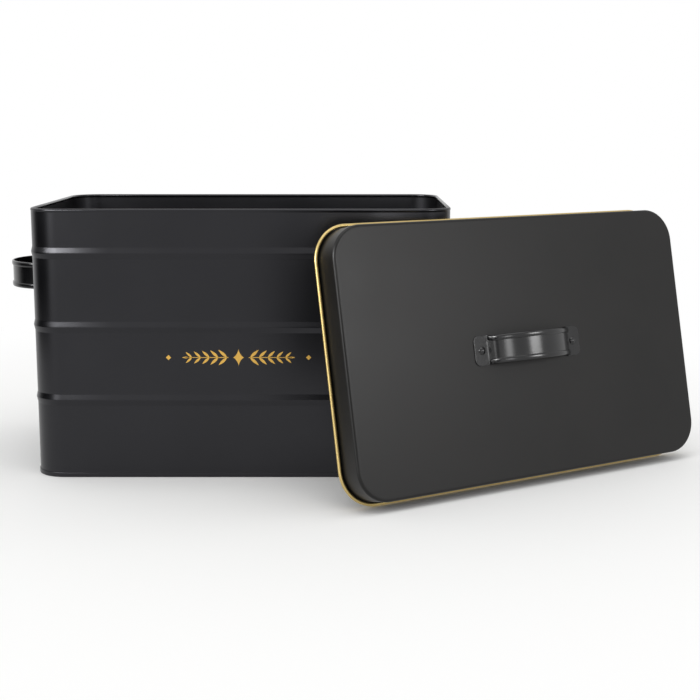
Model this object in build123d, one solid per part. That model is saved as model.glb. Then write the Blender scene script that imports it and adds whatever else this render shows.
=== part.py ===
from build123d import *
from math import acos, atan2, cos, degrees, radians, sin
import os

# A tin storage box with a lift-off lid that stands beside it, leaning on the box.
# Millimetres. Origin at the centre of the box's foot on the floor.
# +X runs along the box to the right, the front faces -Y, +Z is up.

# Box
box_length = 330.0
box_depth = 200.0
box_height = 213.0
corner_radius = 24.0
body_sheet = 0.5

# Three beads pressed outwards round the wall
first_bead_height = 62.5
bead_pitch = 58.0
bead_count = 3
bead_width = 9.0
bead_rise = 0.9
bead_crest_radius = 3.0

# Curled rim
rim_curl_diameter = 2.8
rim_curl_bulge = 0.3
rim_curl_slot = 0.5

# Locked seam down the back of the wall
lock_seam_width = 6.0
lock_seam_rise = 0.5

# Bottom, folded round the wall's lower edge
bottom_sheet = 0.5
foot_seam_height = 3.6
foot_seam_rounding = 0.35
foot_seam_clearance = 0.05

# Strap handles: the arch's outer face, its rolled edges and its riveted tabs
strap_sheet = 0.8
strap_width = 21.5
strap_fold_spacing = 76.0
strap_fold_radius = 1.4
rolled_edge_width = 4.0
rolled_edge_rise = 0.9
rolled_edge_rounding = 0.8
tab_length = 14.0
tab_width = 23.4
tab_corner_radius = 5.0
rivet_from_fold = 7.0
side_handle_rise = 34.0
side_handle_shoulder_radius = 20.0
side_handle_slant = 8.0
side_handle_above_second_bead = 33.0
lid_handle_rise = 22.0
lid_handle_shoulder_radius = 12.0
lid_handle_slant = 25.0

# Rivets
rivet_shank_diameter = 3.0
rivet_head_diameter = 6.2
rivet_head_rise = 1.9
rivet_tail_diameter = 4.6
rivet_tail_thickness = 0.8
rivet_hole_clearance = 0.05

# Lid: its skirt passes outside the rim, and the trim grips the skirt's open end
lid_sheet = 0.5
lid_height = 23.2
lid_edge_radius = 2.2
lid_fit_clearance = 0.3
trim_sheet = 0.4
trim_grip_clearance = 0.05
trim_lip_height = 4.0
trim_roll_diameter = 2.7
trim_roll_standoff = 0.65
trim_roll_slot = 0.5

# How the lid stands beside the box, at this lean or further over if it would reach past the rim
lid_turn = 31.9
lid_lean = 12.4
lid_contact_from_middle = -55.0
lid_lean_gap = 0.3
lid_below_rim = 2.0

# Heights of the beads' crests
bead_heights = [first_bead_height + index * bead_pitch for index in range(bead_count)]

# The side handles' middle line, in the panel above the second bead
side_handle_height = first_bead_height + bead_pitch + side_handle_above_second_bead

# Lid sizes that follow from the box
lid_wall = trim_sheet + trim_grip_clearance + lid_sheet
lid_margin = rim_curl_bulge + lid_fit_clearance + lid_wall
lid_length = box_length + 2 * lid_margin
lid_depth = box_depth + 2 * lid_margin
lid_corner_radius = corner_radius + lid_margin


# Sections are drawn with x outwards from the wall's outer face and y up.
def section_box(x_low, x_high, z_low, z_high):
    middle = ((x_low + x_high) / 2, (z_low + z_high) / 2)
    return Pos(*middle) * Rectangle(x_high - x_low, z_high - z_low)


# Carries a section round a rectangle with rounded corners, as four runs and four corners.
def ring_of(section, length, depth, radius):
    upright = Plane.XZ * section
    pieces = []
    for quarter in range(4):
        across, along = (length, depth) if quarter % 2 == 0 else (depth, length)
        run = extrude(Pos(across / 2, 0, 0) * upright, amount=along / 2 - radius, dir=(0, 1, 0), both=True)
        corner = revolve(Pos(radius, 0, 0) * upright, axis=Axis.Z, revolution_arc=90)
        corner = Pos(across / 2 - radius, along / 2 - radius, 0) * corner
        pieces += [Rot(0, 0, 90 * quarter) * run, Rot(0, 0, 90 * quarter) * corner]
    return Part() + pieces


# The wall's outer face from bottom to top, with its beads, shifted outwards by an amount.
def wall_face_points(shift, bottom, top):
    points = [(shift, bottom)]
    for middle in bead_heights:
        points += [
            (shift, middle - bead_width / 2),
            (shift + bead_rise, middle),
            (shift, middle + bead_width / 2),
        ]
    points.append((shift, top))
    return points


# A band of sheet between two shifts of the wall's face, with its bead crests rounded.
def wall_band(inner, outer, bottom, top):
    outline = wall_face_points(outer, bottom, top) + wall_face_points(inner, bottom, top)[::-1]
    band = make_face(Polyline(*outline, close=True))
    crests = [v for v in band.vertices() if min(abs(v.Y - height) for height in bead_heights) < 1e-6]
    return fillet(crests, radius=bead_crest_radius)


# Box wall: beaded sheet, rim curled inwards, and the locked seam at the back.
def make_body_wall():
    foot = bottom_sheet + foot_seam_clearance
    curl_radius = rim_curl_diameter / 2
    centre = (rim_curl_bulge - curl_radius, box_height - curl_radius)
    bore = Pos(*centre) * Circle(curl_radius - body_sheet)
    slot = section_box(-body_sheet - rim_curl_slot, -body_sheet, centre[1] - curl_radius, centre[1])
    sheet = wall_band(-body_sheet, 0, foot, centre[1])
    section = sheet + (Pos(*centre) * Circle(curl_radius) - slot) - bore
    wall = ring_of(section, box_length, box_depth, corner_radius)
    seam = wall_band(0, lock_seam_rise, foot_seam_height + foot_seam_clearance, box_height - rim_curl_diameter)
    strip = extrude(Plane.XZ * seam, amount=lock_seam_width / 2, dir=(0, 1, 0), both=True)
    return wall + Rot(0, 0, 90) * Pos(box_depth / 2, 0, 0) * strip


# Bottom: a raised panel whose edge goes down inside the wall and folds up outside it.
def make_bottom_panel():
    outer_low = foot_seam_clearance
    outer_high = outer_low + bottom_sheet
    inner_high = -body_sheet - foot_seam_clearance
    inner_low = inner_high - bottom_sheet
    section = section_box(inner_low, outer_high, 0, bottom_sheet)
    section += section_box(outer_low, outer_high, 0, foot_seam_height)
    section += section_box(inner_low, inner_high, 0, foot_seam_height)
    outside = [v for v in section.vertices() if abs(v.X - outer_high) < 1e-6]
    section = fillet(outside, radius=foot_seam_rounding)
    ring = ring_of(section, box_length, box_depth, corner_radius)
    shape = RectangleRounded(
        box_length + inner_low + inner_high, box_depth + inner_low + inner_high, corner_radius + inner_low
    )
    return ring + Pos(0, 0, foot_seam_height - bottom_sheet) * extrude(shape, amount=bottom_sheet)


# Outline of an arch standing on y = 0: slanting sides, two shoulder arcs and a crown arc, tangent where they meet.
def arch_outline(half_span, rise, shoulder, slant):
    crown = (half_span**2 + rise**2 - 2 * half_span * shoulder) / (2 * (rise - shoulder))
    shoulder_x = half_span - shoulder
    turn = atan2(crown - rise, shoulder_x)
    foot = (arch_foot(half_span, shoulder, slant), 0)
    lean = radians(slant)
    start = (shoulder_x + shoulder * cos(lean), shoulder * sin(lean))
    middle_turn = (lean + turn) / 2
    middle = (shoulder_x + shoulder * cos(middle_turn), shoulder * sin(middle_turn))
    meet = (shoulder_x + shoulder * cos(turn), shoulder * sin(turn))
    right = ThreePointArc(start, middle, meet)
    top = ThreePointArc(meet, (0, rise), (-meet[0], meet[1]))
    left = ThreePointArc((-meet[0], meet[1]), (-middle[0], middle[1]), (-start[0], start[1]))
    return make_face([right, top, left, Polyline((-start[0], start[1]), (-foot[0], 0), foot, start)])


# How far from the middle an arch's slanting side reaches y = 0.
def arch_foot(half_span, shoulder, slant):
    return half_span - shoulder + shoulder / cos(radians(slant))


def arch_band(half_span, rise, shoulder, slant, inset, outset):
    outer = arch_outline(half_span + outset, rise + outset, shoulder + outset, slant)
    inner = arch_outline(half_span - inset, rise - inset, shoulder - inset, slant)
    return outer - inner


# Strap handle lying on z = 0, its arch along X: strap, rolled edges and two tabs with rivet holes.
def make_strap_handle(rise, shoulder, slant):
    fold_x = strap_fold_spacing / 2
    foot_x = arch_foot(fold_x, shoulder, slant)
    tab_from = foot_x + strap_fold_radius
    tab_end = fold_x + tab_length
    section = arch_band(fold_x, rise, shoulder, slant, strap_sheet, 0)
    for side in (-1, 1):
        low, high = sorted((side * (foot_x - strap_sheet), side * (tab_from + strap_fold_radius)))
        section += section_box(low, high, 0, strap_sheet)
    folds = [v for v in section.vertices() if abs(v.Y - strap_sheet) < 1e-6 and abs(v.X) < foot_x]
    section = fillet(folds, radius=strap_fold_radius)
    heels = [v for v in section.vertices() if abs(v.Y) < 1e-6 and abs(v.X) < foot_x]
    section = fillet(heels, radius=strap_fold_radius + strap_sheet)
    handle = extrude(Plane.XZ * section, amount=strap_width / 2, dir=(0, 1, 0), both=True)

    hem = arch_band(fold_x, rise, shoulder, slant, strap_sheet, rolled_edge_rise)
    hem -= section_box(-tab_end, tab_end, 0, strap_sheet + strap_fold_radius)
    for side in (-1, 1):
        band = extrude(Plane.XZ * hem, amount=rolled_edge_width / 2, dir=(0, 1, 0), both=True)
        band = fillet(outer_edges(band, fold_x, rise, shoulder, slant), radius=rolled_edge_rounding)
        handle += Pos(0, side * (strap_width - rolled_edge_width) / 2, 0) * band

    for side in (-1, 1):
        plate = Pos(side * (tab_from + tab_end) / 2, 0) * Rectangle(tab_end - tab_from, tab_width)
        ends = [v for v in plate.vertices() if abs(abs(v.X) - tab_end) < 1e-6]
        handle += extrude(fillet(ends, radius=tab_corner_radius), amount=strap_sheet)
    return handle - rivet_holes(rivet_spots(), 3 * strap_sheet)


# The long outer edges of a rolled edge's band: those that lie outside the strap's own face.
def outer_edges(band, fold_x, rise, shoulder, slant):
    out = rolled_edge_rise / 2
    face = arch_outline(fold_x + out, rise + out, shoulder + out, slant)
    keep_out = extrude(Plane.XZ * face, amount=rolled_edge_width, dir=(0, 1, 0), both=True)
    edges = [e for e in band.edges() if abs((e @ 0).Y - (e @ 1).Y) < 1e-6]
    edges = [e for e in edges if e.geom_type == GeomType.CIRCLE or abs((e @ 0).Z - (e @ 1).Z) > 1e-6]
    return [e for e in edges if not keep_out.is_inside(e @ 0.5)]


# The two rivets' places along a handle.
def rivet_spots():
    spot = strap_fold_spacing / 2 + rivet_from_fold
    return [(-spot, 0), (spot, 0)]


def rivet_holes(spots, depth):
    hole = Cylinder(rivet_shank_diameter / 2 + rivet_hole_clearance, 2 * depth)
    return [Pos(x, y, 0) * hole for x, y in spots]


# Round-headed rivet through a tab standing on z = 0 and a sheet below it, closed over behind.
def make_rivet(sheet):
    head_low = strap_sheet
    head_high = strap_sheet + rivet_head_rise
    head_radius = rivet_head_diameter / 2
    shank_radius = rivet_shank_diameter / 2
    tail_radius = rivet_tail_diameter / 2
    tail_low = -sheet - rivet_tail_thickness
    dome = (rivet_head_rise**2 + head_radius**2) / (2 * rivet_head_rise)
    half_turn = atan2(head_radius, dome - rivet_head_rise) / 2
    dome_middle = (dome * sin(half_turn), head_high - dome + dome * cos(half_turn))
    outline = [
        ThreePointArc((0, head_high), dome_middle, (head_radius, head_low)),
        Polyline(
            (head_radius, head_low),
            (shank_radius, head_low),
            (shank_radius, -sheet),
            (tail_radius, -sheet),
            (tail_radius, tail_low),
            (0, tail_low),
            (0, head_high),
        ),
    ]
    return revolve(Plane.XZ * make_face(outline), axis=Axis.Z)


# A rectangular block with rounded corners and a rounded upper edge, its top at z = top.
def rounded_block(length, depth, radius, bottom, top, edge_radius):
    block = Pos(0, 0, bottom) * extrude(RectangleRounded(length, depth, radius), amount=top - bottom)
    return fillet(block.edges().group_by(Axis.Z)[-1], radius=edge_radius)


# The lid is drawn with its face outwards on z = 0 and its open side below.
def make_lid_shell():
    skirt_end = trim_sheet + trim_grip_clearance - lid_height
    outer = rounded_block(lid_length, lid_depth, lid_corner_radius, skirt_end, 0, lid_edge_radius)
    inner = rounded_block(
        lid_length - 2 * lid_sheet,
        lid_depth - 2 * lid_sheet,
        lid_corner_radius - lid_sheet,
        skirt_end - lid_sheet,
        -lid_sheet,
        lid_edge_radius - lid_sheet,
    )
    return outer - inner - rivet_holes(rivet_spots(), 3 * lid_sheet)


# Gold edge: a lip inside the skirt, a web under it and a roll standing off outside it.
def make_lid_edge_trim():
    bottom = -lid_height
    lip_high = -lid_sheet - trim_grip_clearance
    lip_low = lip_high - trim_sheet
    roll_radius = trim_roll_diameter / 2
    centre = (trim_roll_standoff + roll_radius, bottom + roll_radius)
    section = section_box(lip_low, centre[0], bottom, bottom + trim_sheet)
    section += section_box(lip_low, lip_high, bottom, bottom + trim_lip_height)
    section += Pos(*centre) * Circle(roll_radius)
    section -= Pos(*centre) * Circle(roll_radius - trim_sheet)
    section -= section_box(centre[0] - roll_radius, centre[0], bottom + trim_sheet, bottom + trim_sheet + trim_roll_slot)
    return ring_of(section, lid_length, lid_depth, lid_corner_radius)


# Where the lid stands: on its lower roll, with its upper roll against the box's front right corner.
def lid_placement():
    turn = radians(lid_turn)
    roll_radius = trim_roll_diameter / 2
    roll_up = lid_depth / 2 + trim_roll_standoff + roll_radius
    highest = box_height - rim_curl_diameter - lid_below_rim - trim_roll_diameter
    least_lean = acos(min(1, highest / (2 * roll_up)))
    lean = max(radians(lid_lean), least_lean)
    roll_back = lid_height - roll_radius
    height = roll_up * cos(lean) + roll_back * sin(lean) + roll_radius
    roll_behind = roll_up * sin(lean) + roll_back * cos(lean)
    corner = Vector(box_length / 2 - corner_radius, corner_radius - box_depth / 2)
    along = Vector(cos(turn), sin(turn))
    behind = Vector(-sin(turn), cos(turn))
    reach = corner_radius + rim_curl_bulge + lid_lean_gap + roll_radius + roll_behind
    middle = corner - along * lid_contact_from_middle - behind * reach
    return Pos(middle.X, middle.Y, height) * Rot(0, 0, lid_turn) * Rot(90 - degrees(lean), 0, 0)


# Planes on the outer faces of the two end walls, for the side handles.
end_walls = {
    "left": Plane((-box_length / 2, 0, side_handle_height), x_dir=(0, -1, 0), z_dir=(-1, 0, 0)),
    "right": Plane((box_length / 2, 0, side_handle_height), x_dir=(0, 1, 0), z_dir=(1, 0, 0)),
}
lid_location = lid_placement()

nodes = {}
body_wall = make_body_wall()
for wall in end_walls.values():
    body_wall -= [wall.location * hole for hole in rivet_holes(rivet_spots(), 3 * body_sheet)]
nodes["body_wall"] = body_wall
nodes["bottom_panel"] = make_bottom_panel()

side_handle = make_strap_handle(side_handle_rise, side_handle_shoulder_radius, side_handle_slant)
side_rivet = make_rivet(body_sheet)
for side, wall in end_walls.items():
    nodes[f"side_handle_{side}"] = wall.location * side_handle
    for x, y in rivet_spots():
        placed = wall.location * Pos(x, y, 0) * side_rivet
        end = "front" if placed.center().Y < 0 else "rear"
        nodes[f"side_handle_{side}_rivet_{end}"] = placed

nodes["lid_shell"] = lid_location * make_lid_shell()
nodes["lid_edge_trim"] = lid_location * make_lid_edge_trim()
lid_handle = make_strap_handle(lid_handle_rise, lid_handle_shoulder_radius, lid_handle_slant)
nodes["lid_handle"] = lid_location * lid_handle
lid_rivet = make_rivet(lid_sheet)
for name, (x, y) in zip(("left", "right"), rivet_spots()):
    nodes[f"lid_handle_rivet_{name}"] = lid_location * Pos(x, y, 0) * lid_rivet

os.makedirs("parts", exist_ok=True)
for name, shape in nodes.items():
    shape.label = name
    export_step(shape, f"parts/{name}.step")
    print(name, round(shape.volume, 1), "mm3")
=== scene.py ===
from math import acos, atan2, copysign, cos, degrees, hypot, pi, radians, sin, sqrt

import bmesh
import bpy
from mathutils import Matrix, Vector


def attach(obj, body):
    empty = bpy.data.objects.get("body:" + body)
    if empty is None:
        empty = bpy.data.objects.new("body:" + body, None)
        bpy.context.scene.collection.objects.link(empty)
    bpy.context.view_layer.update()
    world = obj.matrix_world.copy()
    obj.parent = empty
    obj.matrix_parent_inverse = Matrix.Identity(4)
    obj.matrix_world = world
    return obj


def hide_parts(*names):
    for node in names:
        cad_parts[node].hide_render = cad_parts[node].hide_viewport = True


# Tin storage box with its lid off: satin black lacquer, gold rolled edge, riveted strap handles

mm = 0.001  # the pieces' sizes are in millimetres; the floor, lamps and flags are in metres

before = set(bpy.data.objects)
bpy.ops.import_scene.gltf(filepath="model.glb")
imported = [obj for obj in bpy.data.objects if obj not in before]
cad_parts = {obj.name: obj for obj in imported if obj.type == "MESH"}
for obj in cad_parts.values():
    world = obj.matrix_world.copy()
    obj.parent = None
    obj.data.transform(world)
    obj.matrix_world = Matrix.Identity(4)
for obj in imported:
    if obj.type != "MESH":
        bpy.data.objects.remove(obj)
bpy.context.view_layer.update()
print("frame loaded:", len(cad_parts), "CAD nodes")


# Small helpers


def linearColour(hexValue):
    # sRGB hex to the linear values that Blender's sockets take
    channels = [int(hexValue[i:i + 2], 16) / 255 for i in (1, 3, 5)]
    return [c / 12.92 if c <= 0.04045 else ((c + 0.055) / 1.055) ** 2.4 for c in channels] + [1]


def addNode(tree, kind, inputs=None, **settings):
    # adds a node, sets its options and fills its sockets with values or links
    node = tree.nodes.new(kind)
    for name, value in settings.items():
        setattr(node, name, value)
    for socket, value in (inputs or {}).items():
        if isinstance(value, bpy.types.NodeSocket):
            tree.links.new(value, node.inputs[socket])
        else:
            node.inputs[socket].default_value = value
    return node


def addObject(name, data):
    piece = bpy.data.objects.new(name, data)
    bpy.context.scene.collection.objects.link(piece)
    return piece


def arcPoints(centre, radius, start, end, steps):
    # points on a circle from one angle to another, in degrees
    angles = [radians(start + (end - start) * i / steps) for i in range(steps + 1)]
    return [(centre[0] + radius * cos(a), centre[1] + radius * sin(a)) for a in angles]


def roundCorners(points, radius, steps, guard):
    # rounds an open outline's inner corners; guard points either side of each keep the flats flat
    out = [points[0]]
    for before, corner, after in zip(points, points[1:], points[2:]):
        back = Vector(before) - Vector(corner)
        ahead = Vector(after) - Vector(corner)
        bend = pi - back.angle(ahead)
        reach = radius * sin(bend / 2) / cos(bend / 2)
        inwards = (back.normalized() + ahead.normalized()).normalized()
        centre = Vector(corner) + inwards * radius / cos(bend / 2)
        first = Vector(corner) + back.normalized() * reach
        last = Vector(corner) + ahead.normalized() * reach
        start = degrees(atan2(first.y - centre.y, first.x - centre.x))
        end = degrees(atan2(last.y - centre.y, last.x - centre.x))
        end += 360 * round((start - end) / 360)
        out.append(tuple(first + back.normalized() * guard))
        out += arcPoints(centre, radius, start, end, steps)
        out.append(tuple(last + ahead.normalized() * guard))
    return out + [points[-1]]


def sharpenEdges(data, angle=40):
    # smooth shading everywhere but over real corners
    for polygon in data.polygons:
        polygon.use_smooth = True
    data.set_sharp_from_angle(angle=radians(angle))


def keepMesh(name, mesh, material):
    # turns a finished bmesh into an object with one material
    data = bpy.data.meshes.new(name)
    mesh.to_mesh(data)
    mesh.free()
    data.materials.append(material)
    return addObject(name, data)


def makePlane(name, half, material):
    mesh = bmesh.new()
    bmesh.ops.create_grid(mesh, x_segments=1, y_segments=1, size=half)
    return keepMesh(name, mesh, material)


def loftRings(name, rings, material):
    # joins closed rings of points, all with the same count, into one shell with closed ends
    mesh = bmesh.new()
    rows = [[mesh.verts.new(Vector(p) * mm) for p in ring] for ring in rings]
    count = len(rows[0])
    for low, high in zip(rows, rows[1:]):
        for i in range(count):
            j = (i + 1) % count
            mesh.faces.new((low[i], low[j], high[j], high[i]))
    mesh.faces.new(reversed(rows[0]))
    mesh.faces.new(rows[-1])
    bmesh.ops.recalc_face_normals(mesh, faces=mesh.faces)
    piece = keepMesh(name, mesh, material)
    sharpenEdges(piece.data)
    return piece


def roundedRing(spec, inset, z, share=1):
    # points round a rectangle with rounded corners, as many at any inset
    radius = spec["cornerRadius"] - inset
    cuts = spec["straightCuts"]
    ring = []
    for quarter in range(4):
        sides = (spec["length"], spec["depth"])
        across, along = sides if quarter % 2 == 0 else reversed(sides)
        across, along = across / 2 - inset, along / 2 - inset
        half = along - radius
        side = [(across, half * (2 * i / (cuts + 1) - 1)) for i in range(1, cuts + 1)]
        side += arcPoints((across - radius, half), radius, 0, 90, spec["cornerSteps"])
        turn = Matrix.Rotation(quarter * pi / 2, 2)
        ring += [(*(turn @ Vector(p) * share), z) for p in side]
    return ring


# rings that fill a flat panel from its middle
faceShares = (0.03, 0.12, 0.3, 0.5, 0.7, 0.86, 0.96, 0.99)


# Geometry nodes


def startTree(name, sockets):
    # a tree with named inputs and one geometry as its output
    tree = bpy.data.node_groups.new(name, "GeometryNodeTree")
    for label, kind in sockets.items():
        tree.interface.new_socket(name=label, in_out="INPUT", socket_type="NodeSocket" + kind)
    tree.interface.new_socket(name="Geometry", in_out="OUTPUT", socket_type="NodeSocketGeometry")
    return tree, addNode(tree, "NodeGroupInput").outputs


def endTree(tree, geometry, material):
    real = addNode(tree, "GeometryNodeRealizeInstances", {"Geometry": geometry})
    painted = addNode(
        tree, "GeometryNodeSetMaterial", {"Geometry": real.outputs[0], "Material": material}
    )
    addNode(tree, "NodeGroupOutput", {0: painted.outputs[0]})
    return tree


def makeSweepTree():
    # a section carried round a rectangle with rounded corners
    sockets = {
        "Length": "Float",
        "Depth": "Float",
        "Corner radius": "Float",
        "Corner steps": "Int",
        "Straight cuts": "Int",
        "Section": "Object",
        "Material": "Material",
    }
    tree, given = startTree("sectionRoundRectangle", sockets)
    outline = addNode(
        tree,
        "GeometryNodeCurvePrimitiveQuadrilateral",
        {"Width": given["Length"], "Height": given["Depth"]},
    )
    smooth = addNode(
        tree, "GeometryNodeCurveSplineType", {"Curve": outline.outputs[0]}, spline_type="BEZIER"
    )
    corners = addNode(
        tree,
        "GeometryNodeFilletCurve",
        {"Curve": smooth.outputs[0], "Radius": given["Corner radius"]},
        mode="BEZIER",
    )
    # every other segment is a straight run, and only those are cut
    index = addNode(tree, "GeometryNodeInputIndex")
    straight = addNode(tree, "ShaderNodeMath", {0: index.outputs[0], 1: 2.0}, operation="MODULO")
    cuts = addNode(
        tree,
        "ShaderNodeMath",
        {0: straight.outputs[0], 1: given["Straight cuts"]},
        operation="MULTIPLY",
    )
    divided = addNode(
        tree, "GeometryNodeSubdivideCurve", {"Curve": corners.outputs[0], "Cuts": cuts.outputs[0]}
    )
    path = addNode(
        tree,
        "GeometryNodeSetSplineResolution",
        {"Geometry": divided.outputs[0], "Resolution": given["Corner steps"]},
    )
    section = addNode(tree, "GeometryNodeObjectInfo", {"Object": given["Section"]})
    sheet = addNode(
        tree,
        "GeometryNodeCurveToMesh",
        {"Curve": path.outputs[0], "Profile Curve": section.outputs["Geometry"]},
    )
    return endTree(tree, sheet.outputs[0], given["Material"])


def runTree(name, tree, values, start=None):
    # evaluates the tree on an empty object, or on points, and keeps the result as a plain mesh
    piece = addObject(name, start or bpy.data.meshes.new(name + "Start"))
    modifier = piece.modifiers.new("build", "NODES")
    modifier.node_group = tree
    identifiers = {i.name: i.identifier for i in tree.interface.items_tree if i.in_out == "INPUT"}
    for key, value in values.items():
        modifier[identifiers[key]] = value
    evaluated = piece.evaluated_get(bpy.context.evaluated_depsgraph_get())
    mesh = bpy.data.meshes.new_from_object(evaluated)
    piece.modifiers.remove(modifier)
    mesh.name = name
    sharpenEdges(mesh)
    piece.data = mesh
    return piece


def sweepSection(name, outline, spec, material):
    # outline is a closed section in mm, x outwards and z up, drawn anticlockwise
    curve = bpy.data.curves.new(name + "Section", "CURVE")
    curve.dimensions = "3D"
    spline = curve.splines.new("POLY")
    spline.points.add(len(outline) - 1)
    for point, (x, z) in zip(spline.points, reversed(outline)):
        point.co = (x * mm, -z * mm, 0, 1)
    spline.use_cyclic_u = True
    section = addObject(name + "Section", curve)
    piece = runTree(
        name,
        sweepTree,
        {
            "Length": spec["length"] * mm,
            "Depth": spec["depth"] * mm,
            "Corner radius": spec["cornerRadius"] * mm,
            "Corner steps": spec["cornerSteps"],
            "Straight cuts": spec["straightCuts"],
            "Section": section,
            "Material": material,
        },
    )
    bpy.data.objects.remove(section)
    bpy.data.curves.remove(curve)
    return piece


sweepTree = makeSweepTree()

# Camera: the photograph's own view, fitted to the box's rims, foot and corners

cameraSpec = {
    "place": (86.04, -1143.86, 283.54),
    "pitch": -9.83,
    "focalPixels": 1351.19,
    "imagePixels": 700,
    "sensor": 36,
    "clipStart": 50,
}


def makeCamera():
    data = bpy.data.cameras.new("camera")
    data.sensor_width = cameraSpec["sensor"]
    data.lens = cameraSpec["focalPixels"] / cameraSpec["imagePixels"] * data.sensor_width
    data.clip_start = cameraSpec["clipStart"] * mm
    camera = addObject("camera", data)
    camera.location = [v * mm for v in cameraSpec["place"]]
    camera.rotation_euler = (radians(90 + cameraSpec["pitch"]), 0, 0)
    bpy.context.scene.camera = camera


makeCamera()
print("camera set")

# Materials


def seenRays(tree):
    # 1 for what the camera sees itself, in a reflection or through glass
    path = addNode(tree, "ShaderNodeLightPath")
    first = addNode(
        tree,
        "ShaderNodeMath",
        {0: path.outputs["Is Camera Ray"], 1: path.outputs["Is Glossy Ray"]},
        operation="ADD",
    )
    both = addNode(
        tree,
        "ShaderNodeMath",
        {0: first.outputs[0], 1: path.outputs["Is Transmission Ray"]},
        operation="ADD",
        use_clamp=True,
    )
    return both.outputs[0]


def startMaterial(name):
    material = bpy.data.materials.new(name)
    material.use_nodes = True
    tree = material.node_tree
    tree.nodes.clear()
    shader = addNode(tree, "ShaderNodeBsdfPrincipled")
    addNode(tree, "ShaderNodeOutputMaterial", {"Surface": shader.outputs[0]})
    return material, tree, shader


def bulgeNormal(tree, place, bulge):
    # bent sheet springs back, so its flats curve on a little beside each corner: a slow bump
    split = addNode(tree, "ShaderNodeSeparateXYZ", {0: place})
    falls = []
    for axis, (start, end) in bulge["reach"].items():
        out = addNode(tree, "ShaderNodeMath", {0: split.outputs[axis]}, operation="ABSOLUTE")
        fall = addNode(
            tree,
            "ShaderNodeMapRange",
            {
                "Value": out.outputs[0],
                "From Min": start * mm,
                "From Max": end * mm,
                "To Min": 0,
                "To Max": -1,
            },
            interpolation_type="SMOOTHSTEP",
        )
        falls.append(fall.outputs["Result"])
    both = addNode(tree, "ShaderNodeMath", {0: falls[0], 1: falls[1]}, operation="ADD")
    slow = addNode(
        tree,
        "ShaderNodeBump",
        {"Height": both.outputs[0], "Strength": 1.0, "Distance": bulge["depth"] * mm},
    )
    return slow.outputs["Normal"]


def lacquer(name, spec):
    # baked lacquer on tinplate: a thin glossy film whose fine orange peel spreads the reflections
    material, tree, shader = startMaterial(name)
    place = addNode(tree, "ShaderNodeTexCoord").outputs["Object"]
    cloud = addNode(
        tree,
        "ShaderNodeTexNoise",
        {"Vector": place, "Scale": 1 / (spec["cloudSize"] * mm), "Detail": 3},
    )
    low, high = spec["cloudRange"]
    shade = addNode(tree, "ShaderNodeValToRGB", {"Fac": cloud.outputs["Fac"]})
    ends = shade.color_ramp.elements
    ends[0].position, ends[1].position = low, high
    ends[0].color, ends[1].color = (linearColour(spec[tone]) for tone in ("dark", "light"))
    rough = addNode(
        tree,
        "ShaderNodeMapRange",
        {
            "Value": cloud.outputs["Fac"],
            "From Min": low,
            "From Max": high,
            "To Min": spec["rough"] - spec["roughSwing"],
            "To Max": spec["rough"] + spec["roughSwing"],
        },
    )
    peel = addNode(
        tree,
        "ShaderNodeTexNoise",
        {"Vector": place, "Scale": 1 / (spec["peelSize"] * mm), "Detail": 2},
    )
    bump = addNode(
        tree,
        "ShaderNodeBump",
        {"Height": peel.outputs["Fac"], "Strength": 1.0, "Distance": spec["peelDepth"] * mm},
    )
    if "bulge" in spec:
        tree.links.new(bulgeNormal(tree, place, spec["bulge"]), bump.inputs["Normal"])
    tree.links.new(shade.outputs["Color"], shader.inputs["Base Color"])
    tree.links.new(rough.outputs["Result"], shader.inputs["Roughness"])
    tree.links.new(bump.outputs["Normal"], shader.inputs["Normal"])
    shader.inputs["IOR"].default_value = spec["ior"]
    shader.inputs["Specular Tint"].default_value = linearColour(spec["gleam"])
    return material


boxLacquerSpec = {
    "dark": "#08080A",
    "light": "#0D0D0F",
    "rough": 0.23,
    "roughSwing": 0.02,
    "ior": 1.43,
    "gleam": "#F7F7FF",  # carbon black in the film gives its sheen a cold cast
    "cloudSize": 60,  # broad drift of the film's thickness
    "cloudRange": (0.3, 0.7),  # noise values between which tone and roughness drift
    "peelSize": 1.8,  # orange peel
    "peelDepth": 0.0025,
    "bulge": {"reach": {"X": (100, 182), "Y": (35, 117)}, "depth": 5.7},
}
flatLacquerSpec = {key: value for key, value in boxLacquerSpec.items() if key != "bulge"}
insideLacquerSpec = dict(flatLacquerSpec, rough=0.3, roughSwing=0.03, ior=1.44)
plainLacquerSpec = dict(flatLacquerSpec, gleam="#FFFFFF")
lidLacquerSpec = dict(plainLacquerSpec, dark="#0B0A09", light="#110F0E", rough=0.4, ior=1.35)
handleLacquerSpec = dict(plainLacquerSpec, rough=0.2, ior=1.5, cloudSize=25, peelDepth=0.001)

boxLacquer = lacquer("satinBlackLacquer", boxLacquerSpec)  # mirrors the studio as broad soft greys
lidLacquer = lacquer("mattBlackLacquer", lidLacquerSpec)  # an even dark face, nothing mirrored
insideLacquer = lacquer("dullInsideLacquer", insideLacquerSpec)  # keeps the box's inside quieter
handleLacquer = lacquer("glossBlackLacquer", handleLacquerSpec)  # bright lines along the rolls

goldSpec = {
    "dark": "#B29B5E",
    "light": "#C7B17B",
    "rough": 0.4,
    "drawnSize": 0.6,
    "drawnDepth": 0.002,
}


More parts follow.
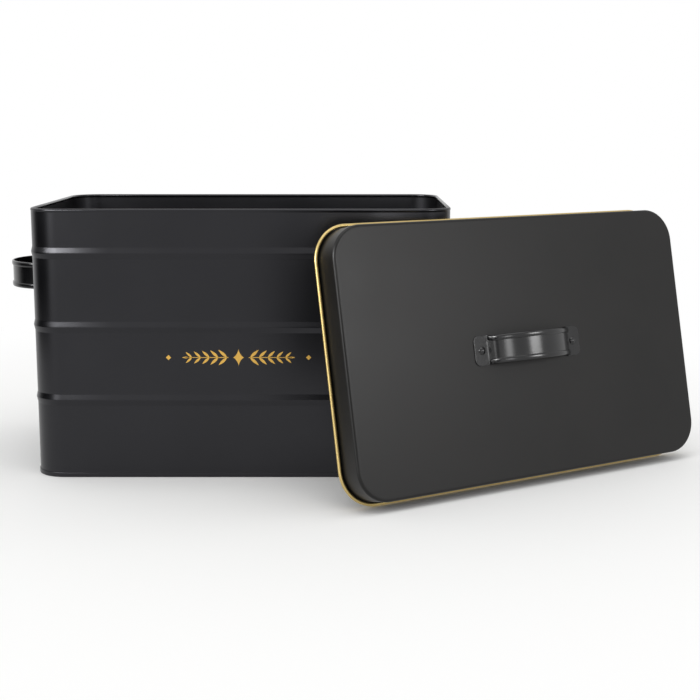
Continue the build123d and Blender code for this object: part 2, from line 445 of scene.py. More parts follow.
def goldLacquer():
    # gold lacquer over bright tin, drawn lengthwise by rolling: metal with faintly streaked gloss
    material, tree, shader = startMaterial("goldLacqueredTin")
    place = addNode(tree, "ShaderNodeTexCoord").outputs["Object"]
    streak = addNode(
        tree,
        "ShaderNodeTexNoise",
        {"Vector": place, "Scale": 1 / (goldSpec["drawnSize"] * mm), "Detail": 2},
    )
    shade = addNode(tree, "ShaderNodeValToRGB", {"Fac": streak.outputs["Fac"]})
    ends = shade.color_ramp.elements
    ends[0].color, ends[1].color = (linearColour(goldSpec[tone]) for tone in ("dark", "light"))
    bump = addNode(
        tree,
        "ShaderNodeBump",
        {"Height": streak.outputs["Fac"], "Distance": goldSpec["drawnDepth"] * mm},
    )
    tree.links.new(shade.outputs["Color"], shader.inputs["Base Color"])
    tree.links.new(bump.outputs["Normal"], shader.inputs["Normal"])
    shader.inputs["Metallic"].default_value = 1.0
    shader.inputs["Roughness"].default_value = goldSpec["rough"]
    return material


goldTin = goldLacquer()

printSpec = {
    "dark": "#C3902D",
    "light": "#E5B957",
    "rough": 0.45,
    "metallic": 0.35,  # the share of flakes that show through the varnish
    "grainSize": 0.25,
    "grainRange": (0.25, 0.65),
}


def goldInk():
    # bronze-powder ink: metal flakes in varnish, so it is duller and grainier than the rolled edge
    material, tree, shader = startMaterial("bronzePowderInk")
    place = addNode(tree, "ShaderNodeTexCoord").outputs["Object"]
    grain = addNode(
        tree, "ShaderNodeTexNoise", {"Vector": place, "Scale": 1 / (printSpec["grainSize"] * mm)}
    )
    shade = addNode(tree, "ShaderNodeValToRGB", {"Fac": grain.outputs["Fac"]})
    ends = shade.color_ramp.elements
    ends[0].position, ends[1].position = printSpec["grainRange"]
    ends[0].color, ends[1].color = (linearColour(printSpec[tone]) for tone in ("dark", "light"))
    tree.links.new(shade.outputs["Color"], shader.inputs["Base Color"])
    shader.inputs["Metallic"].default_value = printSpec["metallic"]
    shader.inputs["Roughness"].default_value = printSpec["rough"]
    return material


goldPrint = goldInk()
print("materials made")

# Box wall: one sheet with three pressed beads and a curled rim

wallSpec = {
    "length": 330,
    "depth": 200,
    "height": 213,
    "cornerRadius": 24,
    "cornerSteps": 20,
    "straightCuts": 15,
    "sheet": 0.5,
    "foot": 0.55,
    "firstBead": 62.5,
    "beadPitch": 58,
    "beadCount": 3,
    "beadWidth": 9,
    "beadRise": 0.95,
    "bendRadius": 2.6,
    "bendSteps": 6,
    "guard": 0.7,
    "curlRadius": 1.4,
    "curlBulge": 0.3,
    "curlSlot": 0.5,
    "curlHollow": 3,  # the hollow curve that leads from the wall into the curl
    "hollowSteps": 6,
    "hollowGuard": 0.3,
    "curlSteps": 44,
    "boreSteps": 32,
    "boreGuard": 0.1,
    "insideFrom": 0.6,  # share of the sheet past which a face counts as the inside
}


def wallFace(shift, bottom, top):
    # the wall's face from bottom to top with its beads, moved outwards by shift
    points = [(shift, bottom)]
    half = wallSpec["beadWidth"] / 2
    for i in range(wallSpec["beadCount"]):
        middle = wallSpec["firstBead"] + i * wallSpec["beadPitch"]
        points += [(shift, middle - half), (shift + wallSpec["beadRise"], middle)]
        points.append((shift, middle + half))
    points.append((shift, top))
    return roundCorners(points, wallSpec["bendRadius"], wallSpec["bendSteps"], wallSpec["guard"])


def fromOutline(spec, point):
    # how far a point lies outside a rectangle with rounded corners
    radius = spec["cornerRadius"]
    x = abs(point.x) - spec["length"] / 2 + radius
    y = abs(point.y) - spec["depth"] / 2 + radius
    return hypot(max(x, 0), max(y, 0)) + min(max(x, y), 0) - radius


def circleMeets(x, centre, radius):
    # angle in degrees, below the centre, where a circle crosses a vertical line at x
    return -degrees(acos((x - centre[0]) / radius))


def makeBoxWall():
    sheet = wallSpec["sheet"]
    outer = wallSpec["curlRadius"]
    bore = outer - sheet
    centre = (wallSpec["curlBulge"] - outer, wallSpec["height"] - outer)
    curlEnd = -sheet - wallSpec["curlSlot"]
    outerEnd = 360 + circleMeets(curlEnd, centre, outer)
    boreEnd = circleMeets(-sheet, centre, bore)
    boreStart = 360 + circleMeets(curlEnd, centre, bore)
    hollow = wallSpec["curlHollow"]
    turn = degrees(acos((hollow - centre[0]) / (hollow + outer)))
    hollowCentre = (hollow, centre[1] - (hollow + outer) * sin(radians(turn)))
    outline = wallFace(0, wallSpec["foot"], hollowCentre[1] - wallSpec["hollowGuard"])
    outline += arcPoints(hollowCentre, hollow, 180, 180 - turn, wallSpec["hollowSteps"])[:-1]
    outline += arcPoints(centre, outer, -turn, outerEnd, wallSpec["curlSteps"])
    outline += arcPoints(centre, bore, boreStart, boreEnd, wallSpec["boreSteps"])
    insideTop = centre[1] + bore * sin(radians(boreEnd)) - wallSpec["boreGuard"]
    outline += reversed(wallFace(-sheet, wallSpec["foot"], insideTop))
    piece = sweepSection("boxWall", outline, wallSpec, boxLacquer)
    piece.data.materials.append(insideLacquer)
    inside = -sheet * wallSpec["insideFrom"]
    for polygon in piece.data.polygons:
        underCurl = polygon.center.z / mm < centre[1] - bore
        if underCurl and fromOutline(wallSpec, polygon.center / mm) < inside:
            polygon.material_index = 1
    return piece


boxWall = makeBoxWall()
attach(boxWall, "box")
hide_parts("body_wall")
print("box wall made")

# Locked seam down the back: a folded band with two rounded edges that follows the beads

seamSpec = {
    "width": 6,
    "rise": 0.5,
    "sunk": 0.1,
    "bottom": 3.65,
    "top": 210.2,
    "edgeRadius": 0.25,
    "steps": 5,
    "guard": 1.2,
}


def makeBackSeam():
    half, guard = seamSpec["width"] / 2, seamSpec["guard"]
    radius = seamSpec["edgeRadius"]
    rise = seamSpec["rise"]
    section = [(-half, -seamSpec["sunk"]), (half, -seamSpec["sunk"])]
    section += arcPoints((half - radius, rise - radius), radius, 0, 90, seamSpec["steps"])
    section += [(half - guard, rise), (0, rise), (guard - half, rise)]
    section += arcPoints((radius - half, rise - radius), radius, 90, 180, seamSpec["steps"])
    back = wallSpec["depth"] / 2
    line = wallFace(0, seamSpec["bottom"], seamSpec["top"])
    rings = [[(x, back + out + y, z) for x, y in section] for out, z in line]
    return loftRings("backSeam", rings, boxLacquer)


backSeam = makeBackSeam()
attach(backSeam, "box")

# Bottom: a raised panel whose edge goes down inside the wall and folds up outside it into a bead

bottomSpec = {
    "sheet": 0.5,
    "gap": 0.05,
    "height": 3.6,
    "edgeRadius": 0.35,
    "steps": 5,
    "legBevel": 0.3,
    "footBevel": (0.15, 0.2),
    "footGuard": 0.3,
    "beadGuard": 0.4,
    "panelBevel": 0.2,
    "panelGuard": 0.6,
}


def makeBottomPanel():
    sheet, gap, height = bottomSpec["sheet"], bottomSpec["gap"], bottomSpec["height"]
    radius, steps = bottomSpec["edgeRadius"], bottomSpec["steps"]
    outside = gap + sheet
    inside = wallSpec["sheet"] + gap
    legInside = inside + sheet
    under = height - sheet
    leg, panel, guard = bottomSpec["legBevel"], bottomSpec["panelBevel"], bottomSpec["beadGuard"]
    footIn, footUp = bottomSpec["footBevel"]
    section = [(-legInside - leg, under), (-legInside, under - leg), (-legInside, footUp)]
    section += [(-legInside + footIn, 0), (outside - radius - bottomSpec["footGuard"], 0)]
    section += arcPoints((outside - radius, radius), radius, -90, 0, steps)
    section += [(outside, radius + guard), (outside, height - radius - guard)]
    section += arcPoints((outside - radius, height - radius), radius, 0, 90, steps)
    section += [(gap, height), (gap, sheet), (-inside, sheet), (-inside, height - panel)]
    section += [(-inside - panel, height)]
    rings = [roundedRing(wallSpec, legInside + leg, under, s) for s in faceShares]
    rings += [roundedRing(wallSpec, -x, z) for x, z in section]
    top = legInside + bottomSpec["panelGuard"]
    rings += [roundedRing(wallSpec, top, height, s) for s in (1, *reversed(faceShares))]
    return loftRings("bottomPanel", rings, boxLacquer)


bottomPanel = makeBottomPanel()
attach(bottomPanel, "box")
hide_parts("bottom_panel")
print("seam and bottom made")

# Where the lid stands: on its lower roll, with its upper roll by the box's front right corner

lidSpec = {
    "length": 333.1,
    "depth": 203.1,
    "height": 23.2,
    "cornerRadius": 25.55,
    "cornerSteps": 20,
    "straightCuts": 15,
    "sheet": 0.5,
    "edgeRadius": 2.2,
    "edgeSteps": 10,
    "edgeGuard": 0.4,
    "skirtRows": (-14, -8),
    "skirtEnd": 22.75,
    "skirtBevel": 0.1,
}
rollSpec = {
    "sheet": 0.4,
    "lipHigh": 4,
    "lipInset": 0.55,
    "radius": 1.35,
    "standoff": 0.65,
    "slot": 0.5,
    "rollSteps": 44,
    "boreSteps": 30,
    "bevel": 0.1,
    "heel": (0.25, 0.07),
    "blackAngles": (165, 225),  # degrees from outwards, where the gold doesn't reach
}
standSpec = {"turn": 31.9, "lean": 12.4, "contactFromMiddle": -55, "cornerGap": 0.6}


def lidPlace():
    turn = radians(standSpec["turn"])
    lean = radians(standSpec["lean"])
    roll = rollSpec["radius"]
    up = lidSpec["depth"] / 2 + rollSpec["standoff"] + roll
    back = lidSpec["height"] - roll
    height = up * cos(lean) + back * sin(lean) + roll
    behindRoll = up * sin(lean) + back * cos(lean)
    bend = wallSpec["cornerRadius"]
    corner = Vector((wallSpec["length"] / 2 - bend, bend - wallSpec["depth"] / 2))
    along = Vector((cos(turn), sin(turn)))
    behind = Vector((-sin(turn), cos(turn)))
    middle = corner - along * standSpec["contactFromMiddle"]
    middle -= behind * (bend + standSpec["cornerGap"] + roll + behindRoll)
    place = Matrix.Translation(Vector((middle.x, middle.y, height)) * mm)
    return place @ Matrix.Rotation(turn, 4, "Z") @ Matrix.Rotation(pi / 2 - lean, 4, "X")


lidMatrix = lidPlace()

# Lid: a drawn sheet with a flat face, a rounded edge and a skirt


def makeLidShell():
    sheet = lidSpec["sheet"]
    edge = lidSpec["edgeRadius"]
    end, bevel = lidSpec["skirtEnd"], lidSpec["skirtBevel"]
    rows = (bevel - end, *lidSpec["skirtRows"], -edge - lidSpec["edgeGuard"])

    def face(inset):
        # the skirt's rows and the rounding above them
        arc = arcPoints((0, -edge), edge - inset, 0, 90, lidSpec["edgeSteps"])
        return [(inset, z) for z in rows] + [(edge - x, z) for x, z in arc]

    section = [*reversed(face(0)), (bevel, -end), (sheet - bevel, -end), *face(sheet)]
    rings = [roundedRing(lidSpec, edge, 0, s) for s in faceShares]
    rings += [roundedRing(lidSpec, inset, z) for inset, z in section]
    rings += [roundedRing(lidSpec, edge, -sheet, s) for s in reversed(faceShares)]
    piece = loftRings("lidShell", rings, lidLacquer)
    piece.data.transform(lidMatrix)
    return piece


lidShell = makeLidShell()
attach(lidShell, "lid")
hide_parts("lid_shell")
print("lid made")

# Gold edge: a lip inside the skirt, a web under it and a hollow roll outside it


def makeLidTrim():
    sheet = rollSpec["sheet"]
    radius = rollSpec["radius"]
    bore = radius - sheet
    bottom = -lidSpec["height"]
    web = bottom + sheet
    lipOut = -rollSpec["lipInset"]
    lipIn = lipOut - sheet
    lipTop = bottom + rollSpec["lipHigh"]
    bevel, (heel, heelMiddle) = rollSpec["bevel"], rollSpec["heel"]
    centre = (rollSpec["standoff"] + radius, bottom + radius)
    # the roll goes out, up and back, and stops short of the web
    drop = centre[1] - web - rollSpec["slot"]
    outerEnd = 180 + degrees(atan2(drop, sqrt(radius**2 - drop**2)))
    boreEnd = 180 + degrees(atan2(drop, sqrt(bore**2 - drop**2)))
    outline = [(lipIn + heel, bottom)]
    outline += arcPoints(centre, radius, -90, outerEnd, rollSpec["rollSteps"])
    outline += arcPoints(centre, bore, boreEnd, -90, rollSpec["boreSteps"])
    outline += [(lipOut + bevel, web), (lipOut, web + bevel), (lipOut, lipTop - bevel)]
    outline += [(lipOut - bevel, lipTop), (lipIn + bevel, lipTop), (lipIn, lipTop - bevel)]
    outline += [(lipIn, bottom + heel), (lipIn + heelMiddle, bottom + heelMiddle)]
    piece = sweepSection("lidTrim", outline, lidSpec, goldTin)
    # the gold is laid on from outside, so the roll's hidden side and the groove behind stay black
    piece.data.materials.append(lidLacquer)
    blackFrom, blackTo = rollSpec["blackAngles"]
    for polygon in piece.data.polygons:
        out, z = fromOutline(lidSpec, polygon.center / mm), polygon.center.z / mm
        angle = degrees(atan2(z - centre[1], out - centre[0])) % 360
        hidden = blackFrom < angle < blackTo and out > lipOut
        inBore = hypot(z - centre[1], out - centre[0]) < (radius + bore) / 2
        if hidden or inBore:
            polygon.material_index = 1
    piece.data.transform(lidMatrix)
    return piece


lidTrim = makeLidTrim()
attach(lidTrim, "lid")
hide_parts("lid_edge_trim")
print("gold edge made")

# Strap handles: a strap with rolled long edges, bent into an arch between two riveted tabs

strapSpec = {
    "sheet": 0.8,
    "width": 21.5,
    "foldSpacing": 76,
    "foldRadius": 1.4,
    "tabLength": 14,
    "tabWidth": 23.4,
    "tabCorner": 5,
    "tabTurns": range(90, -1, -9),
    "tabGuard": 1.5,
    "tabRows": (45, 42.5),
    "foldGuard": 0.3,
    "foldSteps": 8,
    "slantShares": (0.15, 0.4, 0.65, 0.85),
    "shoulderSteps": 22,
    "crownSteps": 16,
    "taperRun": 5,  # the run past the fold over which the strap takes on its own width
    "hemWidth": 4,
    "hemRise": 0.9,
    "hemFullness": 2.5,  # 2 is a round ridge, more is squarer
    "hemRun": 2.2,
    "hemSteps": 14,
    "hemGuard": 0.3,
    "edgeRadius": 0.3,
    "edgeSteps": 4,
    "sideGuard": 0.15,
    "underGuard": 2,
    "aboveBead": 33,  # the side handles' middle above the second bead
}
archSpec = {
    "lidHandle": {"rise": 22, "shoulder": 12, "slant": 25},
    "sideHandle": {"rise": 34, "shoulder": 20, "slant": 8},
}


def archStations(rise, shoulder, slant):
    # half the strap's top line from the tab's end to the crown: point, normal, run past the fold
    half = strapSpec["foldSpacing"] / 2
    foldRadius = strapSpec["foldRadius"]
    crown = (half**2 + rise**2 - 2 * half * shoulder) / (2 * (rise - shoulder))
    shoulderX = half - shoulder
    foldZ = strapSpec["sheet"] + foldRadius
    lean = radians(slant)
    foldX = shoulderX + (shoulder + foldRadius - foldZ * sin(lean)) / cos(lean)
    meetTurn = degrees(atan2(crown - rise, shoulderX))
    tabEnd = half + strapSpec["tabLength"]
    corner = strapSpec["tabCorner"]
    stations = []

    def add(points, centre, side, run, step):
        for i, (x, z) in enumerate(points):
            normal = Vector((0, 1))
            if centre:
                normal = Vector((x - centre[0], z - centre[1])).normalized() * side
            stations.append((Vector((x, z)), normal, run + step * i))

    rows = strapSpec["tabRows"]
    tab = [tabEnd - corner * (1 - sin(radians(a))) for a in strapSpec["tabTurns"]]
    tab += [tabEnd - corner - strapSpec["tabGuard"], *rows, (rows[-1] + foldX) / 2]
    tab += [foldX + strapSpec["foldGuard"]]
    add([(x, strapSpec["sheet"]) for x in tab], None, 1, 0, 0)
    foldSteps, shoulderSteps = strapSpec["foldSteps"], strapSpec["shoulderSteps"]
    fold = arcPoints((foldX, foldZ), foldRadius, 270, 180 + slant, foldSteps)
    add(fold, (foldX, foldZ), -1, 0, foldRadius * radians(90 - slant) / foldSteps)
    run = foldRadius * radians(90 - slant)
    # the slanting side runs straight from the fold to the shoulder
    bend = arcPoints((shoulderX, 0), shoulder, slant, meetTurn, shoulderSteps)
    low, high = Vector(fold[-1]), Vector(bend[0])
    normal = Vector((cos(lean), sin(lean)))
    for share in strapSpec["slantShares"]:
        stations.append((low.lerp(high, share), normal, run + (high - low).length * share))
    run += (high - low).length
    add(bend, (shoulderX, 0), 1, run, shoulder * radians(meetTurn - slant) / shoulderSteps)
    run += shoulder * radians(meetTurn - slant)
    top = arcPoints((0, rise - crown), crown, meetTurn, 90, strapSpec["crownSteps"])
    add(top[1:], (0, rise - crown), 1, run, 1)
    return stations, tabEnd


def easeIn(value):
    # a smooth start and end between 0 and 1
    value = min(max(value, 0), 1)
    return value * value * (3 - 2 * value)


def strapSection(x, run, tabEnd):
    # the strap's outline across its width: y across, height from its top face
    corner = strapSpec["tabCorner"]
    past = max(0, abs(x) - tabEnd + corner)
    tabHalf = strapSpec["tabWidth"] / 2 - corner + sqrt(max(corner**2 - past**2, 0))
    taper = strapSpec["width"] / 2 - strapSpec["tabWidth"] / 2
    half = tabHalf + taper * easeIn(run / strapSpec["taperRun"])
    rise = strapSpec["hemRise"] * easeIn(run / strapSpec["hemRun"])
    edge = strapSpec["edgeRadius"]
    sheet = strapSpec["sheet"]
    hem = strapSpec["hemWidth"] / 2
    power = 2 / strapSpec["hemFullness"]

    def edgeDrop(y):
        # how far the rounded rim lies under the top face, from the distance to the outline
        outX = abs(x) - tabEnd + corner if run <= 0 else -corner
        outY = abs(y) - half if outX <= 0 else abs(y) - strapSpec["tabWidth"] / 2 + corner
        depth = -outY if outX <= 0 else corner - hypot(outX, max(outY, 0))
        depth = min(max(depth, 0), edge)
        return edge - sqrt(max(edge**2 - (edge - depth) ** 2, 0))

    top = []
    for i in range(strapSpec["hemSteps"] + 1):
        angle = pi * i / strapSpec["hemSteps"]
        y = half - hem + hem * copysign(abs(cos(angle)) ** power, cos(angle))
        share = rise / strapSpec["hemRise"]
        top.append((y, rise * sin(angle) ** power - (1 - share) * edgeDrop(y)))
    inner = half - 2 * hem
    top += [(inner - strapSpec["hemGuard"], -edgeDrop(inner)), (inner / 2, -edgeDrop(inner / 2))]
    top += [(0, -edgeDrop(0))]
    left = [(-y, n) for y, n in reversed(top[:-1])]
    steps, guard = strapSpec["edgeSteps"], strapSpec["underGuard"]
    sideLow = strapSpec["sideGuard"] - sheet + edge
    under = arcPoints((edge - half, edge - sheet), edge, 180, 270, steps)
    under += [(guard - half, -sheet), (0, -sheet), (half - guard, -sheet)]
    under += arcPoints((half - edge, edge - sheet), edge, 270, 360, steps)
    return [*top, *left, (-half, sideLow), *under, (half, sideLow)]


def makeStrap(name, spec, place, body, node):
    stations, tabEnd = archStations(**spec)
    rings = []
    for point, normal, run in stations:
        outline = strapSection(point.x, run, tabEnd)
        rings.append([(point.x + n * normal.x, y, point.y + n * normal.y) for y, n in outline])
    rings += [[(-x, y, z) for x, y, z in ring] for ring in reversed(rings[:-1])]
    piece = loftRings(name, rings, handleLacquer)
    piece.data.transform(place)
    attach(piece, body)
    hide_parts(node)


sideHeight = wallSpec["firstBead"] + wallSpec["beadPitch"] + strapSpec["aboveBead"]
rightPlace = Matrix.Translation((wallSpec["length"] / 2 * mm, 0, sideHeight * mm)) @ Matrix(
    ((0, 0, 1, 0), (1, 0, 0, 0), (0, 1, 0, 0), (0, 0, 0, 1))
)
leftPlace = Matrix.Rotation(pi, 4, "Z") @ rightPlace
makeStrap("lidHandle", archSpec["lidHandle"], lidMatrix, "lid", "lid_handle")
makeStrap("sideHandleLeft", archSpec["sideHandle"], leftPlace, "box", "side_handle_left")
makeStrap("sideHandleRight", archSpec["sideHandle"], rightPlace, "box", "side_handle_right")
print("handles made")

# Geometry nodes: copies of one object on points that carry their turn and size


def makeCopiesTree():
    sockets = {"Points": "Geometry", "Copy": "Object", "Material": "Material"}
    tree, given = startTree("copiesOnPoints", sockets)
    copied = addNode(tree, "GeometryNodeObjectInfo", {"Object": given["Copy"]})
    turn, size = (
        addNode(tree, "GeometryNodeInputNamedAttribute", {"Name": name}, data_type="FLOAT_VECTOR")
        for name in ("turn", "size")
    )
    copies = addNode(
        tree,
        "GeometryNodeInstanceOnPoints",
        {
            "Points": given["Points"],
            "Instance": copied.outputs["Geometry"],
            "Rotation": turn.outputs["Attribute"],
            "Scale": size.outputs["Attribute"],
        },
    )
    return endTree(tree, copies.outputs[0], given["Material"])


copiesTree = makeCopiesTree()


def placeCopies(name, pattern, places, material):
    # places are (point, euler turn, size) in metres; pattern, the object to copy, is then removed
    points = bpy.data.meshes.new(name + "Points")
    points.from_pydata([p for p, turn, size in places], [], [])
    for key, values in (("turn", [t for p, t, s in places]), ("size", [s for p, t, s in places])):
        attribute = points.attributes.new(key, "FLOAT_VECTOR", "POINT")
        attribute.data.foreach_set("vector", [c for value in values for c in value])
    piece = runTree(name, copiesTree, {"Copy": pattern, "Material": material}, points)
    bpy.data.objects.remove(pattern)
    return piece


# Rivets: a domed head on the tab, a shank through tab and sheet, and a flattened tail inside

rivetSpec = {
    "fromMiddle": 45,
    "shank": 1.5,
    "headRadius": 3.1,
    "headRise": 1.9,
    "headRim": 0.25,  # the head's upright edge
    "headBevel": 0.05,
    "rimEase": 0.08,
    "tailRadius": 2.3,
    "tailRise": 0.8,
    "tailBevel": 0.1,
    "tailRound": 0.4,
    "tailSteps": 4,
    "tailMiddle": 0.2,
    "wall": 0.5,
    "segments": 28,
    "crownAngle": 88,
    "domeSteps": 9,
}


def makeRivet():
    seat, tail = strapSpec["sheet"], -rivetSpec["wall"]
    head, rise, rim = rivetSpec["headRadius"], rivetSpec["headRise"], rivetSpec["headRim"]
    bevel, ease = rivetSpec["headBevel"], rivetSpec["rimEase"]
    dome = ((head - bevel) ** 2 + (rise - rim) ** 2) / (2 * (rise - rim))
    spread = degrees(atan2(head - bevel, dome - rise + rim))
    middle = seat + rise - dome
    steps = rivetSpec["domeSteps"]
    profile = arcPoints((0, middle), dome, rivetSpec["crownAngle"], 90 - spread, steps)
    profile += [(head, seat + rim - ease), (head, seat + bevel), (head - bevel, seat)]
    profile += [(rivetSpec["shank"], seat), (rivetSpec["shank"], tail)]
    wide, thick = rivetSpec["tailRadius"], rivetSpec["tailRise"]
    bevel, curve = rivetSpec["tailBevel"], rivetSpec["tailRound"]
    profile += [(wide - bevel, tail), (wide, tail - bevel)]
    steps = rivetSpec["tailSteps"]
    profile += arcPoints((wide - curve, tail - thick + curve), curve, 0, -90, steps)
    profile += [(rivetSpec["tailMiddle"], tail - thick)]
    count = rivetSpec["segments"]
    turns = [2 * pi * i / count for i in range(count)]
    rings = [[(r * cos(a), r * sin(a), z) for a in turns] for r, z in profile]
    return loftRings("rivet", rings, rivetSteel)


def placeRivets(name, handles, body, nodes):
    places = []
    for handle in handles:
        for side in (-1, 1):
            point = handle @ Vector((side * rivetSpec["fromMiddle"] * mm, 0, 0))
            places.append((point, handle.to_euler(), (1, 1, 1)))
    piece = placeCopies(name, makeRivet(), places, rivetSteel)
    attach(piece, body)
    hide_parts(*nodes)


# rivet steel dipped with the handles: the same gloss, a small bright point on each dome
rivetSteel = lacquer("lacqueredRivetSteel", handleLacquerSpec)
sideRivets = [
    f"side_handle_{side}_rivet_{end}" for side in ("left", "right") for end in ("front", "rear")
]
placeRivets("boxRivets", (leftPlace, rightPlace), "box", sideRivets)
placeRivets("lidRivets", (lidMatrix,), "lid", ["lid_handle_rivet_left", "lid_handle_rivet_right"])
print("rivets made")

# Gold print on the front: two leafy sprigs either side of a star, between two small diamonds

ornamentSpec = {
    "middle": (-1.4, 96.7),
    "ink": 0.06,
    "sunk": 0.03,
    "starHalf": (4.4, 6.8),
    "starHollow": 2.9,  # 2 is a plain diamond, more draws its sides in
    "starSteps": 10,
    "stemStart": 8,
    "stemEnd": 42,
    "stemWidth": (0.6, 0.4),
    "leafCount": 5,
    "leafLength": (9.2, 6.6),
    "leafWidth": 0.25,
    "leafBelly": 0.85,  # under 1 the leaf is widest before its middle
    "leafSteps": 8,
    "leafAngle": 42,
    "leafFirst": 9,
    "leafStep": 6.9,
    "tipAt": 0.93,  # share of the stem
    "tipSize": 0.8,  # share of the last leaf
    "diamondAt": 55,
    "diamondHalf": 2.05,
}


def inkShape(name, outline):
    # a flat closed outline in mm printed a film thick
    mesh = bmesh.new()
    low = [mesh.verts.new((u * mm, v * mm, -ornamentSpec["sunk"] * mm)) for u, v in outline]
    high = [mesh.verts.new((u * mm, v * mm, ornamentSpec["ink"] * mm)) for u, v in outline]
    mesh.faces.new(reversed(low))
    mesh.faces.new(high)
    for i in range(len(outline)):
        j = (i + 1) % len(outline)
        mesh.faces.new((low[i], low[j], high[j], high[i]))
    bmesh.ops.recalc_face_normals(mesh, faces=mesh.faces)
    return keepMesh(name, mesh, goldPrint)


def leafOutline():
    # a pointed leaf one millimetre long from its base at the origin
    steps, belly = ornamentSpec["leafSteps"], ornamentSpec["leafBelly"]
    half = ornamentSpec["leafWidth"] / 2
    upper = [(i / steps, half * sin(pi * (i / steps) ** belly)) for i in range(steps + 1)]
    return upper + [(u, -v) for u, v in reversed(upper[1:-1])]


def starOutline():
    # four points with hollow sides
    wide, tall = ornamentSpec["starHalf"]
    hollow, steps = ornamentSpec["starHollow"], ornamentSpec["starSteps"]
    turns = [pi / 2 * i / steps for i in range(steps)]
    quarter = [(wide * cos(a) ** hollow, tall * sin(a) ** hollow) for a in turns]
    upper = quarter + [(0, tall)] + [(-u, v) for u, v in reversed(quarter[1:])]
    return upper + [(-u, -v) for u, v in upper]


def joinPieces(name, parts):
    # joins finished meshes that share one material
    mesh = bmesh.new()
    for part in parts:
        mesh.from_mesh(part.data)
        bpy.data.objects.remove(part)
    return keepMesh(name, mesh, goldPrint)


def makeOrnament():
    front = -wallSpec["depth"] / 2
    middle = ornamentSpec["middle"]
    place = Matrix.Translation(Vector((middle[0], front, middle[1])) * mm)
    place = place @ Matrix.Rotation(pi / 2, 4, "X")
    first, last = ornamentSpec["leafLength"]
    count = ornamentSpec["leafCount"]
    tipLength = last * ornamentSpec["tipSize"]
    leaves = []
    for side in (0, pi):
        for i in range(count):
            along = ornamentSpec["leafFirst"] + ornamentSpec["leafStep"] * i
            length = first + (last - first) * i / (count - 1)
            for up in (-1, 1):
                turn = up * radians(ornamentSpec["leafAngle"])
                point = Vector((along * mm * cos(side), 0, 0))
                leaves.append((point, (0, 0, side + turn), (length, length, 1)))
        tip = Vector((ornamentSpec["stemEnd"] * mm * cos(side) * ornamentSpec["tipAt"], 0, 0))
        leaves.append((tip, (0, 0, side), (tipLength, tipLength, 1)))
    sprigs = placeCopies("sprigLeaves", inkShape("leaf", leafOutline()), leaves, goldPrint)
    parts = [sprigs, inkShape("star", starOutline())]
    wide, narrow = (w / 2 for w in ornamentSpec["stemWidth"])
    start, end = ornamentSpec["stemStart"], ornamentSpec["stemEnd"]
    half, at = ornamentSpec["diamondHalf"], ornamentSpec["diamondAt"]
    stem = ((start, -wide), (end, -narrow), (end, narrow), (start, wide))
    diamond = ((half, 0), (0, half), (-half, 0), (0, -half))
    for side in (-1, 1):
        parts.append(inkShape("stem", [(side * u, v) for u, v in stem]))
        parts.append(inkShape("diamond", [(side * at + u, v) for u, v in diamond]))
    ornament = joinPieces("goldOrnament", parts)
    ornament.data.transform(place)
    return ornament


ornament = makeOrnament()
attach(ornament, "box")
print("ornament made")

# Floor: it takes light and shadow near the object and turns into the white background further off

floorSpec = {
    "size": 12,
    "colour": "#F8F8F7",
    "rough": 0.9,
    "fadeFrom": 0.3,
    "fadeTo": 0.75,
    "reflectedWhite": 0.4,  # the least share of white that reflections see
    "sunk": 0.0001,  # just under the box's foot
}


def makeFloor():
    # matt paper: it shows the soft shadow and nothing of its own
    material, tree, shader = startMaterial("paleFloor")
    shader.inputs["Base Color"].default_value = linearColour(floorSpec["colour"])
    shader.inputs["Roughness"].default_value = floorSpec["rough"]
    place = addNode(tree, "ShaderNodeTexCoord").outputs["Object"]
    distance = addNode(tree, "ShaderNodeVectorMath", {0: place}, operation="LENGTH")
    fade = addNode(
        tree,
        "ShaderNodeMapRange",
        {
            "Value": distance.outputs["Value"],
            "From Min": floorSpec["fadeFrom"],
            "From Max": floorSpec["fadeTo"],
        },
        interpolation_type="SMOOTHSTEP",
    )
    white = addNode(tree, "ShaderNodeEmission", {"Color": (1, 1, 1, 1)})
    seen = addNode(
        tree, "ShaderNodeMath", {0: seenRays(tree), 1: fade.outputs["Result"]}, operation="MULTIPLY"
    )
    path = addNode(tree, "ShaderNodeLightPath")
    mirrored = addNode(
        tree,
        "ShaderNodeMath",
        {0: path.outputs["Is Glossy Ray"], 1: floorSpec["reflectedWhite"]},
        operation="MULTIPLY",
    )
    share = addNode(
        tree, "ShaderNodeMath", {0: seen.outputs[0], 1: mirrored.outputs[0]}, operation="MAXIMUM"
    )
    mixed = addNode(
        tree,
        "ShaderNodeMixShader",
        {0: share.outputs[0], 1: shader.outputs[0], 2: white.outputs[0]},
    )
    output = next(n for n in tree.nodes if n.type == "OUTPUT_MATERIAL")
    tree.links.new(mixed.outputs[0], output.inputs["Surface"])
    floor = makePlane("floor", floorSpec["size"] / 2, material)
    floor.location.z = -floorSpec["sunk"]


makeFloor()

# World: white where it is seen, and a plain level of light for the rest

worldSpec = {"light": "#FFFFFF", "level": 0.82}


def makeWorld():
    world = bpy.data.worlds.new("studio")
    world.use_nodes = True
    tree = world.node_tree
    tree.nodes.clear()
    white = addNode(tree, "ShaderNodeBackground", {"Color": (1, 1, 1, 1), "Strength": 1.0})
    level = addNode(
        tree,
        "ShaderNodeBackground",
        {"Color": linearColour(worldSpec["light"]), "Strength": worldSpec["level"]},
    )
    mixed = addNode(
        tree, "ShaderNodeMixShader", {0: seenRays(tree), 1: level.outputs[0], 2: white.outputs[0]}
    )
    addNode(tree, "ShaderNodeOutputWorld", {"Surface": mixed.outputs[0]})
    bpy.context.scene.world = world


makeWorld()

# Softboxes: azimuth from the camera's side to the right, elevation, distance, width, height, watts

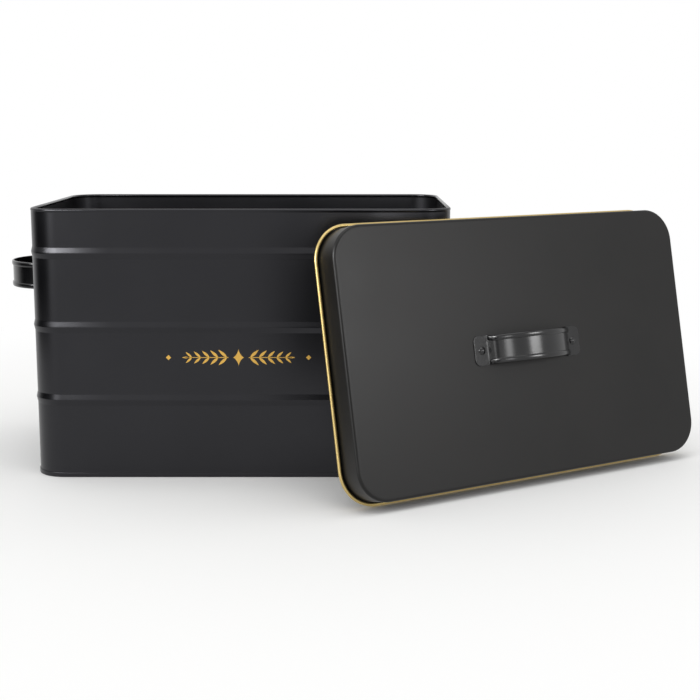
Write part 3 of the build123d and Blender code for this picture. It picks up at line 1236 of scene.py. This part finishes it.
lampSpec = {
    "leftSoftbox": (-50, 21.7, 1.7, 1.1, 0.42, 33),
    "lowStrip": (-48, 4.6, 1.9, 0.5, 0.22, 0.85),
    "frontStrip": (11.2, 10.2, 0.82, 0.15, 0.135, 0.42),
    "rightSoftbox": (53, 15.5, 1.6, 0.5, 0.3, 5.7),
    "topSoftbox": (0, 80, 1.8, 1.4, 1.4, 10),
}
lampTarget = (0.06, -0.05, 0.1)  # where they all point


def makeLamps():
    target = Vector(lampTarget)
    for name, (azimuth, elevation, distance, width, height, watts) in lampSpec.items():
        data = bpy.data.lights.new(name, "AREA")
        data.shape = "RECTANGLE"
        data.size = width
        data.size_y = height
        data.energy = watts
        lamp = addObject(name, data)
        az, el = radians(azimuth), radians(elevation)
        away = Vector((sin(az) * cos(el), -cos(az) * cos(el), sin(el)))
        lamp.location = target + away * distance
        lamp.rotation_euler = away.to_track_quat("Z", "Y").to_euler()
        lamp.visible_camera = False
        # the others make highlights alone: the plain level comes from the world and the top softbox
        lamp.visible_diffuse = name == "topSoftbox"


makeLamps()

# Black flags with soft edges, seen by reflections alone: one draws the box's left corner dark, one
# is the dark that the wall mirrors beside the lid. Each has its centre, width, height, turn, cover

flagSpec = {
    "leftFlag": ((-0.8, -0.19, 0.1), 1.09, 0.6, 90, 1),
    "lidFlag": ((0.075, -0.3, 0.115), 0.15, 0.19, 0, 0.9),
}
clothSpec = {"colour": "#050505", "core": 0.3}  # core: the share that covers in full


def flagCloth(name, cover):
    # dead black cloth without sheen, thinner towards its edges so that no outline is mirrored
    material, tree, shader = startMaterial(name)
    shader.inputs["Base Color"].default_value = linearColour(clothSpec["colour"])
    shader.inputs["Specular IOR Level"].default_value = 0
    place = addNode(tree, "ShaderNodeTexCoord").outputs["Object"]
    split = addNode(tree, "ShaderNodeSeparateXYZ", {0: place})
    amount = cover
    for axis in "XY":
        out = addNode(tree, "ShaderNodeMath", {0: split.outputs[axis]}, operation="ABSOLUTE")
        fade = addNode(
            tree,
            "ShaderNodeMapRange",
            {
                "Value": out.outputs[0],
                "From Min": clothSpec["core"] / 2,
                "From Max": 0.5,
                "To Min": 1,
                "To Max": 0,
            },
            interpolation_type="SMOOTHSTEP",
        )
        both = addNode(
            tree, "ShaderNodeMath", {0: fade.outputs["Result"], 1: amount}, operation="MULTIPLY"
        )
        amount = both.outputs[0]
    tree.links.new(amount, shader.inputs["Alpha"])
    return material


def makeFlags():
    for name, (centre, width, height, turn, cover) in flagSpec.items():
        flag = makePlane(name, 0.5, flagCloth(name + "Cloth", cover))
        flag.location = centre
        flag.rotation_euler = (pi / 2, 0, radians(turn))
        flag.scale = (width, height, 1)
        flag.visible_camera = False
        flag.visible_diffuse = False
        flag.visible_shadow = False


makeFlags()
bpy.context.scene.view_settings.view_transform = "Standard"
print("floor, world, lamps and flags made")
